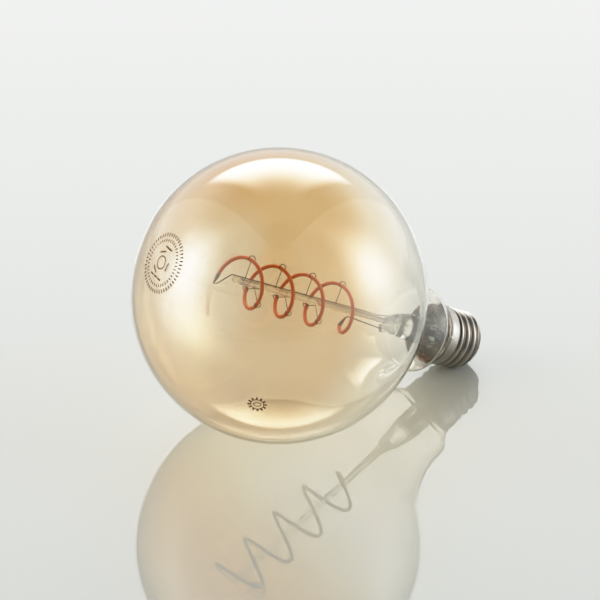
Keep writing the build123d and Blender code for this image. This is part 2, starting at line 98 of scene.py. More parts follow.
# The camera's response rolls off gently in the highlights, as film does.
RESPONSE = ((0.25, 0.49), (0.35, 0.655), (0.5, 0.83), (0.7, 0.94))
BRIGHTEST = 2.0
scene.view_settings.view_transform = "Standard"
scene.view_settings.use_curve_mapping = True
response = scene.view_settings.curve_mapping
response.white_level = (BRIGHTEST, BRIGHTEST, BRIGHTEST)
for level, shown in RESPONSE:
    response.curves[3].points.new(level, shown)
response.update()


# Surface. A wide sheet of polished pale acrylic, which gives back a faint mirror image.
SURFACE_SIZE = 6.0


def srgb(code):
    """Linear colour, with alpha, of an sRGB hex value such as "d8a25c"."""
    parts = [int(code[i:i + 2], 16) / 255 for i in (0, 2, 4)]
    return [p / 12.92 if p <= 0.04045 else ((p + 0.055) / 1.055) ** 2.4 for p in parts] + [1.0]


def add(tree, kind, inputs=None, **settings):
    """Adds a node, and sets or links its inputs, which are named or numbered."""
    node = tree.nodes.new(kind)
    for key, value in settings.items():
        setattr(node, key, value)
    for key, value in (inputs or {}).items():
        if isinstance(value, bpy.types.NodeSocket):
            tree.links.new(value, node.inputs[key])
        else:
            node.inputs[key].default_value = value
    return node


def blank(name):
    """A new material without nodes, and its tree."""
    made = bpy.data.materials.new(name)
    made.use_nodes = True
    made.node_tree.nodes.clear()
    return made, made.node_tree


def show(tree, shader):
    """Ends a material at its shader."""
    add(tree, "ShaderNodeOutputMaterial", {"Surface": shader})


# Smooth all over, so that the mirror image of the bulb is sharp and pale.
acrylic, tree = blank("polished_pale_acrylic")
sheet = add(tree, "ShaderNodeBsdfPrincipled", {
    "Base Color": srgb("aeb1ac"), "Roughness": 0.02, "IOR": 1.42,
})
show(tree, sheet.outputs["BSDF"])

mesh = bmesh.new()
bmesh.ops.create_grid(mesh, x_segments=1, y_segments=1, size=SURFACE_SIZE)
surface = bpy.data.objects.new("surface", bpy.data.meshes.new("surface"))
mesh.to_mesh(surface.data)
mesh.free()
surface.data.materials.append(acrylic)
scene.collection.objects.link(surface)


# Studio light. A pale room with a softbox behind the bulb, a large one on each side, and a dark
# gap overhead and behind the camera. It is drawn from the facing, 1 behind the camera and -1
# straight across from it, and from the height, 0 at the horizon and 1 overhead.
REAR_RADIANCE = 6.4
REAR_FACING = (-0.86, -0.96)
REAR_FOOT = (0.27, 0.38)
REAR_TOP = (0.95, 0.40)
SIDE_RADIANCE = 0.28
SIDE_SLANT = 0.60
SIDE_LEAN = -0.35
SIDE_EDGE = (0.0, 0.04)
SIDE_BACK = (0.999, 0.82)
GLOW_RADIANCE = 4.6
GLOW_FACING = 0.04
GLOW_HEIGHT = 0.34
GLOW_WIDTH = 0.44
GLOW_RISE = 0.46
GLOW_REACH = 1.6
GLOW_POWER = 2.0
WALL_RADIANCE = 1.2
WALL_FACING = (0.95, -0.27)
GAP_SHARE = 0.12
LID_HEIGHT = (0.85, 0.40)
OVERHEAD_SHARE = 0.15
SMALLEST = 1e-4

room = bpy.data.worlds.new("room")
room.use_nodes = True
sky = room.node_tree
sky.nodes.clear()


def work(operation, first, second=0.0, third=0.0):
    """One step of arithmetic on the sky's measures."""
    inputs = {0: first, 1: second, 2: third}
    return add(sky, "ShaderNodeMath", inputs, operation=operation).outputs[0]


def rise(value, ends):
    """A smooth rise from 0 at the first end to 1 at the second."""
    inputs = {"Value": value, "From Min": ends[0], "From Max": ends[1]}
    node = add(sky, "ShaderNodeMapRange", inputs, interpolation_type="SMOOTHSTEP")
    return node.outputs["Result"]


def component(way):
    """How far the gaze goes in a direction."""
    node = add(sky, "ShaderNodeVectorMath", {0: gaze, 1: way}, operation="DOT_PRODUCT")
    return node.outputs["Value"]


gaze = add(sky, "ShaderNodeTexCoord").outputs["Generated"]
height = add(sky, "ShaderNodeSeparateXYZ", {0: gaze}).outputs["Z"]
front = Vector((away.x, away.y, 0.0)).normalized()
ahead = component(front)
beside = component(Vector((0.0, 0.0, 1.0)).cross(front))
spread = work("SUBTRACT", 1.0, work("MULTIPLY", height, height))
facing = work("DIVIDE", ahead, work("SQRT", work("MAXIMUM", spread, SMALLEST)))

rear = work("MULTIPLY", rise(facing, REAR_FACING), rise(height, REAR_FOOT))
rear = work("MULTIPLY", rear, rise(height, REAR_TOP))
edge = work("MULTIPLY_ADD", ahead, SIDE_SLANT, work("ABSOLUTE", beside))
edge = work("MULTIPLY_ADD", height, SIDE_LEAN, edge)
side = work("MULTIPLY", rise(edge, SIDE_EDGE), rise(facing, SIDE_BACK))
offset = add(sky, "ShaderNodeCombineXYZ", {
    "X": work("DIVIDE", work("SUBTRACT", facing, GLOW_FACING), GLOW_WIDTH),
    "Y": work("DIVIDE", work("SUBTRACT", height, GLOW_HEIGHT), GLOW_RISE),
}).outputs["Vector"]
reach = add(sky, "ShaderNodeVectorMath", {0: offset}, operation="LENGTH").outputs["Value"]
glow = work("POWER", rise(reach, (GLOW_REACH, 0.0)), GLOW_POWER)
glow = work("MULTIPLY_ADD", glow, GLOW_RADIANCE, SIDE_RADIANCE)
wall = work("MULTIPLY_ADD", rise(facing, WALL_FACING), 1.0 - GAP_SHARE, GAP_SHARE)
lid = work("MULTIPLY_ADD", rise(height, LID_HEIGHT), 1.0 - OVERHEAD_SHARE, OVERHEAD_SHARE)
total = work("MULTIPLY", work("MULTIPLY", wall, lid), WALL_RADIANCE)
total = work("MULTIPLY_ADD", rear, REAR_RADIANCE, total)
total = work("MULTIPLY_ADD", side, glow, total)
light = add(sky, "ShaderNodeBackground", {"Color": srgb("fbfdfc"), "Strength": total})
add(sky, "ShaderNodeOutputWorld", {"Surface": light.outputs["Background"]})
scene.world = room


# Globe envelope. Blown soda-lime glass with a film of amber lacquer, which thins out to clear
# towards the neck. The neck is drawn down, and its end is sealed to the stem inside the base.
GLASS_WALL = 0.8
NECK_RADIUS = 18.7
NECK_BLEND = 32.5
SHOULDER_BLEND = 5.0
SHOULDER_SLOPE = math.radians(44.0)
STUB_RADIUS = 12.35
STUB_END = 93.0
GLOBE_STEPS = 192
BALL_STEPS = 100
WAIST_STEPS = 26
BROW_STEPS = 12
FILM = (
    # share of the way from the pole to the end of the neck, colour
    (0.0, "fbefd8"), (0.05, "f6dab0"), (0.12, "f2c68a"), (0.31, "f2c68a"), (0.42, "f8e4c4"),
    (0.54, "fdfaf3"),
)
FILM_TOP = 0.7
FILM_THIN = 0.5
LUSTRE_FROM = 0.72
LUSTRE_TO = 0.50


def arc(centre, radius, start, end, steps):
    """Points (x, radius) of an arc in the half section, between two angles from the axis."""
    turns = [start + (end - start) * i / steps for i in range(steps + 1)]
    return [(centre[0] + radius * math.cos(t), centre[1] + radius * math.sin(t)) for t in turns]


def spun(outline, steps, closed=True):
    """A bmesh turned about the bulb's axis from the points (x, radius) of its half section."""
    mesh = bmesh.new()
    points = [mesh.verts.new((x, 0.0, max(radius, 0.0))) for x, radius in outline]
    following = points[1:] + (points[:1] if closed else [])
    edges = [mesh.edges.new(pair) for pair in zip(points, following)]
    bmesh.ops.spin(
        mesh, geom=points + edges, cent=(0, 0, 0), axis=(1, 0, 0), angle=math.tau,
        steps=steps, use_merge=True,
    )
    return mesh


def place(mesh, name, material, replaced=(), where=laid):
    """Closes a bmesh's seams, lays it into place and makes it a piece of the bulb."""
    bmesh.ops.remove_doubles(mesh, verts=mesh.verts, dist=0.002)
    bmesh.ops.dissolve_degenerate(mesh, edges=mesh.edges, dist=0.001)
    bmesh.ops.recalc_face_normals(mesh, faces=mesh.faces)
    bmesh.ops.transform(mesh, matrix=where, verts=mesh.verts)
    made = bpy.data.objects.new(name, bpy.data.meshes.new(name))
    mesh.to_mesh(made.data)
    mesh.free()
    made.data.shade_smooth()
    made.data.materials.append(material)
    scene.collection.objects.link(made)
    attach(made, "root")
    if replaced:
        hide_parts(*replaced)


def bulb_place(tree):
    """Position in the bulb's own directions, in metres from the middle of the globe."""
    upright = turned_down.inverted()
    inputs = {
        "Vector": add(tree, "ShaderNodeTexCoord").outputs["Object"],
        "Rotation": upright.to_euler(),
        "Location": -(upright @ globe_centre),
    }
    return add(tree, "ShaderNodeMapping", inputs).outputs["Vector"]


def see_through(tree, shader, shade):
    """Ends a glass material so that lamps shine through it and leave a faint tint."""
    clear = add(tree, "ShaderNodeBsdfTransparent", {"Color": srgb(shade)})
    rays = add(tree, "ShaderNodeLightPath")
    mixed = add(tree, "ShaderNodeMixShader", {
        0: rays.outputs["Is Shadow Ray"], 1: shader, 2: clear.outputs["BSDF"],
    })
    show(tree, mixed.outputs["Shader"])


# Honey-coloured through the globe and pale at the neck, with bright reflections on both faces.
amber, tree = blank("amber_lacquered_glass")
spot_on_bulb = add(tree, "ShaderNodeSeparateXYZ", {0: bulb_place(tree)}).outputs
share = add(tree, "ShaderNodeMapRange", {
    "Value": spot_on_bulb["X"], "From Min": -globe_radius * MM, "From Max": STUB_END * MM,
})
film = add(tree, "ShaderNodeValToRGB", {"Fac": share.outputs["Result"]})
stops = film.color_ramp.elements
stops[0].position, stops[0].color = FILM[0][0], srgb(FILM[0][1])
stops[1].position, stops[1].color = FILM[-1][0], srgb(FILM[-1][1])
for position, code in FILM[1:-1]:
    stops.new(position).color = srgb(code)

# The film's colour is paler towards the bottom, by height alone.
thickness = add(tree, "ShaderNodeMapRange", {
    "Value": spot_on_bulb["Z"], "From Min": -globe_radius * MM,
    "From Max": FILM_TOP * globe_radius * MM, "To Min": FILM_THIN, "To Max": 1.0,
})
tint = add(tree, "ShaderNodeMix", {
    0: thickness.outputs["Result"], 6: srgb("fcf7ec"), 7: film.outputs["Color"],
}, data_type="RGBA")
lustre = add(tree, "ShaderNodeMapRange", {
    "Value": share.outputs["Result"], "From Min": LUSTRE_FROM, "From Max": LUSTRE_TO,
})
glass = add(tree, "ShaderNodeBsdfPrincipled", {
    "Base Color": tint.outputs[2], "Roughness": 0.0, "IOR": 1.5, "Transmission Weight": 1.0,
    "Coat Weight": lustre.outputs["Result"], "Coat IOR": 1.65, "Coat Roughness": 0.0,
})
see_through(tree, glass.outputs["BSDF"], "f8f1e2")


def envelope_outline(inset):
    """Half section of the envelope, from its pole to the end of the neck, moved inwards."""
    blend_x = math.sqrt((globe_radius + NECK_BLEND) ** 2 - (NECK_RADIUS + NECK_BLEND) ** 2)
    lean = math.atan2(NECK_RADIUS + NECK_BLEND, blend_x)
    ball = arc((0, 0), globe_radius - inset, math.pi, lean, BALL_STEPS)
    waist_middle = (blend_x, NECK_RADIUS + NECK_BLEND)
    waist = arc(waist_middle, NECK_BLEND + inset, math.pi + lean, 1.5 * math.pi, WAIST_STEPS)
    brow_middle = (blend_x, NECK_RADIUS - SHOULDER_BLEND)
    brow_end = math.pi / 2 - SHOULDER_SLOPE
    brow = arc(brow_middle, SHOULDER_BLEND - inset, math.pi / 2, brow_end, BROW_STEPS)
    stub = STUB_RADIUS - inset
    mouth_x = brow[-1][0] + (brow[-1][1] - stub) / math.tan(SHOULDER_SLOPE)
    return ball + waist[1:] + brow[1:] + [(mouth_x, stub), (STUB_END, stub)]


wall_outline = envelope_outline(0.0) + envelope_outline(GLASS_WALL)[::-1]
mesh = spun(wall_outline, GLOBE_STEPS, closed=False)
place(mesh, "globe_glass", amber, ["globe_envelope"])


# Printed marks. A round stamp on the side of the globe and a small one low on its front, pad
# printed in brown-grey ink. Plain ticks, rings and bars stand in for any wording or sign.
INK_LIFT = 0.02
INK_DEPTH = 0.03
BADGE_RINGS = (
    # radius, number of strokes, their length and width, whether they lie across the ring
    (12.3, 48, 1.7, 0.62, True), (9.7, 40, 1.3, 0.55, True), (2.7, 20, 0.86, 0.5, False),
    (4.6, 3, 3.8, 0.7, False),
)
BADGE_BARS = (
    # x, y, turn, length, width
    (-3.0, -6.4, 0.0, 2.2, 0.8), (0.0, -6.4, 0.0, 2.2, 0.8), (3.0, -6.4, 0.0, 2.2, 0.8),
    (0.0, 6.7, 0.0, 5.0, 0.8),
)
STAMP_RINGS = ((3.5, 12, 1.1, 0.9, True), (2.7, 24, 0.8, 0.4, False))
STAMP_OVAL = (1.5, 12, 0.8, 0.4, False, 0.7)

# Matt and thin, a little darker than the glass behind it.
ink, tree = blank("brown_grey_printing_ink")
matt = add(tree, "ShaderNodeBsdfPrincipled", {"Base Color": srgb("6a4f32"), "Roughness": 0.7})
show(tree, matt.outputs["BSDF"])


def mark(name, facing_to, strokes):
    """Strokes (x, y, turn, length, width) in a plane, bent onto the globe about a direction."""
    out = Vector(facing_to).normalized()
    side_way = Vector((0, 0, 1)).cross(out).normalized()
    up_way = out.cross(side_way)
    mesh = bmesh.new()
    for x, y, turn, length, width in strokes:
        spot = Matrix.Translation((x, y, 0.0)) @ Matrix.Rotation(turn, 4, "Z")
        shape = Matrix.Diagonal((length / 2, width / 2, 1.0, 1.0))
        bmesh.ops.create_grid(mesh, x_segments=3, y_segments=1, size=1.0, matrix=spot @ shape)
    raised = bmesh.ops.extrude_face_region(mesh, geom=mesh.faces[:], use_keep_orig=True)
    tops = {v for v in raised["geom"] if isinstance(v, bmesh.types.BMVert)}
    for vert in mesh.verts:
        bearing = out * globe_radius + side_way * vert.co.x + up_way * vert.co.y
        lift = INK_LIFT + (INK_DEPTH if vert in tops else 0.0)
        vert.co = bearing.normalized() * (globe_radius + lift)
    where = Matrix.Translation(globe_centre) @ Matrix.Scale(MM, 4)
    place(mesh, name, ink, where=where)


def ring(radius, count, length, width, across_ring=False, flat=1.0):
    """Strokes evenly round a ring, laid along it or across it."""
    turns = [math.tau * i / count for i in range(count)]
    lay = 0.0 if across_ring else math.pi / 2
    return [
        (radius * math.cos(t), flat * radius * math.sin(t), t + lay, length, width) for t in turns
    ]


badge_way = -0.7726 * rightward + 0.2157 * upward + 0.597 * away
stamp_way = -0.1405 * rightward - 0.7107 * upward + 0.689 * away
badge = [stroke for each in BADGE_RINGS for stroke in ring(*each)]
mark("printed_badge", badge_way, badge + list(BADGE_BARS))
stamp = [stroke for each in STAMP_RINGS for stroke in ring(*each)]
mark("printed_stamp", stamp_way, stamp + ring(*STAMP_OVAL))


# Stem. A clear glass tube opens into a trumpet that is fused to the end of the neck. Its front
# end is pressed flat on the rod and the wires, and an exhaust tube inside it opens at the blow
# hole, through which the globe was filled and then tipped off.
TUBE_RADIUS = 5.75
TUBE_WALL = 1.0
TUBE_START = 75.0
TUBE_STEPS = 96
FLARE_START = 85.0
FLARE_LIP = 0.8
FLARE_EDGE = 0.3
FLARE_STEPS = 14
EXHAUST_RADIUS = 1.6
EXHAUST_BORE = 1.1
EXHAUST_END = 97.0
EXHAUST_STEPS = 40
TIP_HOLE = 0.1
TIP_STEPS = 8
TIP_BORE = ((0.9, TIP_HOLE), (0.4, 0.5), (0.0, EXHAUST_BORE))
PINCH_STATIONS = (
    # x, half height, half width, height of the middle
    (61.5, 2.2, 1.2, -1.7), (62.0, 3.5, 2.3, -1.6), (64.0, 3.9, 2.6, -1.1), (66.0, 4.6, 3.1, -0.4),
    (68.0, 4.9, 3.4, 0.0), (70.0, 5.0, 4.1, 0.0), (72.5, 5.35, 5.1, 0.0), (75.0, 5.75, 5.75, 0.0),
)
PINCH_SIDES = 48
BUBBLE_AT = (69.5, -0.6, 0.8)
BUBBLE_RADIUS = 1.2
BUBBLE_SHAPE = (1.25, 0.9, 1.0, 1.0)
BUBBLE_MERIDIANS = 32
BUBBLE_PARALLELS = 20

# Water-clear in the middle, with bright lines at its edges where it bends the light, and a painted
# dark outline: its colour turns dark grey where it is seen edge on.
clear_glass, tree = blank("clear_lead_glass")
edge_on = add(tree, "ShaderNodeLayerWeight", {"Blend": 0.5}).outputs["Facing"]
painted_outline_share = add(tree, "ShaderNodeMapRange", {
    "Value": edge_on, "From Min": 0.60, "From Max": 0.95,
})
# Painted shade: a dark grey outline where the glass is seen edge on.
painted_edge_shade = add(tree, "ShaderNodeMix", {
    0: painted_outline_share.outputs["Result"], 6: srgb("f8fbf9"), 7: srgb("4c4a44"),
}, data_type="RGBA")
stem_glass = add(tree, "ShaderNodeBsdfPrincipled", {
    "Base Color": painted_edge_shade.outputs[2], "Roughness": 0.0, "IOR": 1.5, "Transmission Weight": 1.0,
})
bent_share = add(tree, "ShaderNodeMapRange", {
    "Value": edge_on, "From Min": 0.15, "From Max": 0.80, "To Min": 0.45, "To Max": 1.0,
})
plain = add(tree, "ShaderNodeBsdfTransparent", {"Color": srgb("fafcfa")})
stem_look = add(tree, "ShaderNodeMixShader", {
    0: bent_share.outputs["Result"], 1: plain.outputs["BSDF"], 2: stem_glass.outputs["BSDF"],
})
see_through(tree, stem_look.outputs["Shader"], "f2f4f1")


def flared(length, bore, lip):
    """Points (x, radius) of a quarter ellipse that opens from the bore into the lip."""
    turns = [math.pi / 2 * i / FLARE_STEPS for i in range(FLARE_STEPS + 1)]
    return [
        (FLARE_START + length * math.sin(t), bore + (lip - bore) * (1 - math.cos(t))) for t in turns
    ]


def skinned(places, sides):
    """A bmesh through circles of radius 1, put in their places, and closed at both ends."""
    mesh = bmesh.new()
    loops = []
    for index, spot in enumerate(places):
        circle = bmesh.ops.create_circle(
            mesh, segments=sides, radius=1.0, matrix=spot, cap_ends=index in (0, len(places) - 1),
        )["verts"]
        loops.append(list({edge for vert in circle for edge in vert.link_edges}))
    for first, second in zip(loops, loops[1:]):
        bmesh.ops.bridge_loops(mesh, edges=first + second)
    return mesh


bore = TUBE_RADIUS - TUBE_WALL
lip = STUB_RADIUS - GLASS_WALL
depth = STUB_END - FLARE_START
stem = [(TUBE_START, bore), (TUBE_START, TUBE_RADIUS)] + flared(depth - FLARE_LIP, TUBE_RADIUS, lip)
stem += [(STUB_END, lip)] + flared(depth, bore, lip - FLARE_EDGE)[::-1]
place(spun(stem, TUBE_STEPS), "stem_tube", clear_glass, ["stem_flare"])

tip = EXHAUST_END - EXHAUST_RADIUS
exhaust = [(TUBE_START, EXHAUST_BORE), (TUBE_START, EXHAUST_RADIUS), (tip, EXHAUST_RADIUS)]
exhaust += arc((tip, 0), EXHAUST_RADIUS, math.pi / 2, TIP_HOLE, TIP_STEPS)[1:]
exhaust += [(tip + x, radius) for x, radius in TIP_BORE]
place(spun(exhaust, EXHAUST_STEPS), "exhaust_pipe", clear_glass, ["exhaust_tube"])

turned = Matrix.Rotation(math.pi / 2, 4, "Y")
pressed = [
    Matrix.Translation((x, 0.0, middle)) @ turned @ Matrix.Diagonal((tall, wide, 1.0, 1.0))
    for x, tall, wide, middle in PINCH_STATIONS
]
place(skinned(pressed, PINCH_SIDES), "stem_pinch", clear_glass, ["pinch_seal"])

mesh = bmesh.new()
spot = Matrix.Translation(BUBBLE_AT) @ Matrix.Diagonal(BUBBLE_SHAPE)
bmesh.ops.create_uvsphere(
    mesh, u_segments=BUBBLE_MERIDIANS, v_segments=BUBBLE_PARALLELS, radius=BUBBLE_RADIUS,
    matrix=spot,
)
place(mesh, "blow_hole", clear_glass)


# Filament and its mount. The glass rod leans back from the pinch. It carries the LED strand, a
# flexible chip strip in silicone with phosphor, bent into a coil and crimped at both ends.
ROD_RADIUS = 1.4
ROD_STEPS = 40
BEAD_RADIUS = 1.6
BEAD_X = -23.0
BEAD_BLEND = 2.6
BEAD_TURN = 0.55
BEAD_STEPS = 14
LEAN_X = 66.0
BUTT_X = 66.5

rod_low, rod_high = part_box("glass_rod")
bead = BEAD_RADIUS * MM
bead_at = Vector((rod_low.x + bead, rod_high.y - bead, rod_high.z - bead))
pivot_at = laid @ Vector((LEAN_X, 0.0, 0.0))
rod_way = (pivot_at - bead_at).normalized()
rod_side = above.cross(rod_way).normalized()
leaned = Matrix((rod_way, rod_side, rod_way.cross(rod_side))).transposed().to_4x4()
leaned = Matrix.Translation(pivot_at) @ leaned @ Matrix.Scale(MM, 4)
leaned = leaned @ Matrix.Translation((-LEAN_X, 0.0, 0.0))

rod_outline = arc((BEAD_X, 0), BEAD_RADIUS, math.pi, BEAD_TURN, BEAD_STEPS)
rod_outline += [(BEAD_X + BEAD_BLEND, ROD_RADIUS), (BUTT_X, ROD_RADIUS), (BUTT_X, 0.0)]
mesh = spun(rod_outline, ROD_STEPS, closed=False)
place(mesh, "centre_rod", clear_glass, ["glass_rod"], where=leaned)

COIL_RADIUS = 10.0
COIL_PITCH = 17.06
COIL_TOP_X = -19.94
COIL_FROM = math.radians(-103.0)
COIL_TO = math.radians(1262.0)
CURL_FROM = math.radians(1215.0)
CURL_IN = 3.0
CURL_POWER = 2.5
STRAND_RADIUS = 0.8
STRAND_SIDES = 20
COIL_STEPS = 380
SMALL_TURN = 0.01


def coil_point(turn):
    """Point of the coil: at 0 it is on top, it turns to the front first, and it ends in a curl."""
    curled = max(0.0, (turn - CURL_FROM) / (COIL_TO - CURL_FROM)) ** CURL_POWER
    radius = COIL_RADIUS - CURL_IN * curled
    x = COIL_TOP_X + COIL_PITCH * turn / math.tau
    return Vector((x, -radius * math.sin(turn), radius * math.cos(turn)))


def coil_way(turn):
    """Direction of the strand there, towards the base."""
    return (coil_point(turn + SMALL_TURN) - coil_point(turn - SMALL_TURN)).normalized()


def turned_along(way, start="Z", upper="X"):
    """Turns an axis of a shape to a direction."""
    return way.to_track_quat(start, upper).to_matrix().to_4x4()


def swept(points, radius, sides):
    """A bmesh of a round wire that follows the points, closed at both ends."""
    befores = points[:1] + points[:-1]
    afters = points[1:] + points[-1:]
    return skinned([
        Matrix.Translation(point) @ turned_along(after - before) @ Matrix.Scale(radius, 4)
        for before, point, after in zip(befores, points, afters)
    ], sides)


# Rubbery and even, brick orange, with a soft sheen along its top.
phosphor, tree = blank("phosphor_silicone")
mottle = add(tree, "ShaderNodeTexNoise", {
    "Vector": bulb_place(tree), "Scale": 900.0, "Detail": 3.0,
})
tone = add(tree, "ShaderNodeMix", {
    0: mottle.outputs["Fac"], 6: srgb("ba6038"), 7: srgb("ca784e"),
}, data_type="RGBA")
silicone = add(tree, "ShaderNodeBsdfPrincipled", {
    "Base Color": tone.outputs[2], "Roughness": 0.45, "IOR": 1.41,
})
show(tree, silicone.outputs["BSDF"])

turns = [COIL_FROM + (COIL_TO - COIL_FROM) * i / COIL_STEPS for i in range(COIL_STEPS + 1)]
mesh = swept([coil_point(turn) for turn in turns], STRAND_RADIUS, STRAND_SIDES)
place(mesh, "led_strand", phosphor, ["led_filament"], where=leaned)

# Terminals: nickel strip folded on the strand's end and darkened where it was welded.
TERMINAL_LENGTH = 4.2
NEAR_TERMINAL_WAY = Vector((0.4, -0.9, 4.1)).normalized()
TERMINAL_OUTLINE = (
    (-0.5, 0.0), (-0.5, 0.86), (0.3, 0.88), (1.5, 0.78), (2.6, 0.6), (3.4, 0.44),
    (TERMINAL_LENGTH, 0.34), (TERMINAL_LENGTH, 0.0),
)
TERMINAL_STEPS = 20
welded, tree = blank("welded_terminal_steel")
stain = add(tree, "ShaderNodeTexNoise", {
    "Vector": bulb_place(tree), "Scale": 1100.0, "Detail": 2.0,
})
scorch = add(tree, "ShaderNodeMix", {
    0: stain.outputs["Fac"], 6: srgb("3a2418"), 7: srgb("9a8a7c"),
}, data_type="RGBA")
strip = add(tree, "ShaderNodeBsdfPrincipled", {
    "Base Color": scorch.outputs[2], "Roughness": 0.5, "Metallic": 0.6,
})
show(tree, strip.outputs["BSDF"])
ends = (
    ("far_terminal", coil_point(COIL_FROM), -coil_way(COIL_FROM)),
    ("near_terminal", coil_point(COIL_TO), NEAR_TERMINAL_WAY),
)
for node, at, way in ends:
    where = leaned @ Matrix.Translation(at) @ turned_along(way, "X", "Z")
    mesh = spun(TERMINAL_OUTLINE, TERMINAL_STEPS, closed=False)
    place(mesh, node + "_crimp", welded, [node], where=where)

# Support hooks: fine molybdenum wire, its foot fused in the rod and a ring round the strand.
HOOK_COUNT = 10
HOOK_STEP = math.radians(120.0)
HOOK_WIRE = 0.17
HOOK_RING = 1.35
HOOK_LIFT = 0.55
HOOK_RAKE = 1.2
HOOK_TILT = 0.8
HOOK_SINK = 0.3
WIRE_SIDES = 8
RING_STEPS = 28

# Dark grey and a little shiny, as wire is after it has been heated.
drawn, tree = blank("drawn_molybdenum_wire")
wire_metal = add(tree, "ShaderNodeBsdfPrincipled", {
    "Base Color": srgb("463e37"), "Roughness": 0.35, "Metallic": 1.0,
})
show(tree, wire_metal.outputs["BSDF"])
for index in range(HOOK_COUNT):
    turn = HOOK_STEP * index
    on_strand = coil_point(turn)
    outward = Vector((0.0, on_strand.y, on_strand.z)).normalized()
    middle = on_strand + outward * HOOK_LIFT
    through = coil_way(turn) * (1.0 if math.cos(turn) > 0.0 else -1.0)
    through = (through - Vector((HOOK_TILT, 0.0, 0.0))).normalized()
    rim_way = through.cross(outward).cross(through).normalized()
    aside = through.cross(rim_way)
    mesh = bmesh.new()
    section = bmesh.ops.create_circle(
        mesh, segments=WIRE_SIDES, radius=HOOK_WIRE,
        matrix=Matrix.Translation(rim_way * HOOK_RING) @ turned_along(aside),
    )["verts"]
    section_edges = list({edge for vert in section for edge in vert.link_edges})
    bmesh.ops.spin(
        mesh, geom=section + section_edges, cent=(0, 0, 0), axis=through, angle=math.tau,
        steps=RING_STEPS, use_merge=True,
    )
    bmesh.ops.translate(mesh, vec=middle, verts=mesh.verts)
    foot = Vector((on_strand.x + HOOK_RAKE, 0.0, 0.0)) + outward * (ROD_RADIUS - HOOK_SINK)
    inner_end = middle + (foot - middle).normalized() * HOOK_RING
    stalk = foot - inner_end
    bmesh.ops.create_cone(
        mesh, segments=WIRE_SIDES, radius1=HOOK_WIRE, radius2=HOOK_WIRE, depth=stalk.length,
        cap_ends=True, matrix=Matrix.Translation((foot + inner_end) / 2) @ turned_along(stalk),
    )
    number = f"{index + 1:02d}"
    replaced = ["support_hook_" + number]
    place(mesh, "wire_hook_" + number, drawn, replaced, where=leaned)


# Lead wires. Nickel-iron wire sheathed in copper and dulled by the sealing flame. One follows the
# rod to the far end of the strand, and one runs from the near end into the pinch.
LEAD_RADIUS = 0.25
LEAD_SIDES = 16
JOINT_BEND = Vector((1.0, 0.0, 0.7))
PINCH_ENTRY = Vector((62.8, 0.0, -3.6))


def dress(material, *names):
    """Gives CAD pieces a better finish."""
    for name in names:
        data = frame["nodes"][name].data
        data.materials.clear()
        data.materials.append(material)


# Brown-grey, with hardly any shine left.
leads, tree = blank("dull_lead_wire")
lead_metal = add(tree, "ShaderNodeBsdfPrincipled", {
    "Base Color": srgb("5c544a"), "Roughness": 0.4, "Metallic": 1.0,
})
show(tree, lead_metal.outputs["BSDF"])
dress(leads, "far_lead_wire", "outer_lead_far", "outer_lead_near")

crimp_end = coil_point(COIL_TO) + NEAR_TERMINAL_WAY * TERMINAL_LENGTH
into_pinch = leaned.inverted() @ (laid @ PINCH_ENTRY)
route = [crimp_end - NEAR_TERMINAL_WAY, crimp_end, crimp_end + JOINT_BEND, into_pinch]
mesh = swept(route, LEAD_RADIUS, LEAD_SIDES)
place(mesh, "near_wire", leads, ["near_lead_wire"], where=leaned)


# Screw base. A shell rolled from thin brass strip and nickel plated: a beaded rim, a plain
# skirt, a rounded right-hand thread and a nose turned in over the insulator.
RIM_X = 88.3
RIM_BEAD = 0.38
RIM_STEPS = 8
CREST_RADIUS = 13.05
FLARE_END = 91.2
SKIRT_RADIUS = 13.15
SKIRT_STEP = ((94.3, SKIRT_RADIUS), (94.7, CREST_RADIUS), (95.1, 12.6))
THREAD_FROM = 95.2
THREAD_TO = 107.6
THREAD_FADE = 1.2
THREAD_MARGIN = 0.2
THREAD_ROWS = 112
THREAD_PITCH = 3.629
THREAD_ROOT = 12.2
THREAD_FULLNESS = 0.8
LAST_CREST_X = 105.4
NOSE_OUTLINE = ((108.4, 11.55), (109.4, 10.95), (109.95, 10.6), (110.2, 10.3), (110.2, 9.6))
INNER_OUTLINE = (
    (109.9, 9.6), (109.9, 10.0), (107.2, 11.9), (95.3, 11.9), (94.3, 12.85), (88.4, 12.85),
)
INNER_WALL = 12.1
SHELL_STEPS = 144
BRIGHT_RADIUS = 12.90
SHADED_ROOT_RADIUS = 12.25

# Bright and a little warm, faintly brushed round the shell by the rolling, with painted shade: its
# colour darkens from the crests of the thread into the roots.
nickel, tree = blank("bright_nickel_plate")
stretched = add(tree, "ShaderNodeMapping", {
    "Vector": bulb_place(tree), "Scale": (9000.0, 260.0, 260.0),
})
rub = add(tree, "ShaderNodeTexNoise", {
    "Vector": stretched.outputs["Vector"], "Scale": 1.0, "Detail": 2.0,
})
worn = add(tree, "ShaderNodeMapRange", {
    "Value": rub.outputs["Fac"], "To Min": 0.14, "To Max": 0.30,
})
ridges = add(tree, "ShaderNodeBump", {
    "Height": rub.outputs["Fac"], "Strength": 0.25, "Distance": 0.00003,
})
off_axis = add(tree, "ShaderNodeVectorMath", {
    0: bulb_place(tree), 1: (0.0, 1.0, 1.0),
}, operation="MULTIPLY")
from_axis = add(tree, "ShaderNodeVectorMath", {0: off_axis.outputs["Vector"]}, operation="LENGTH")
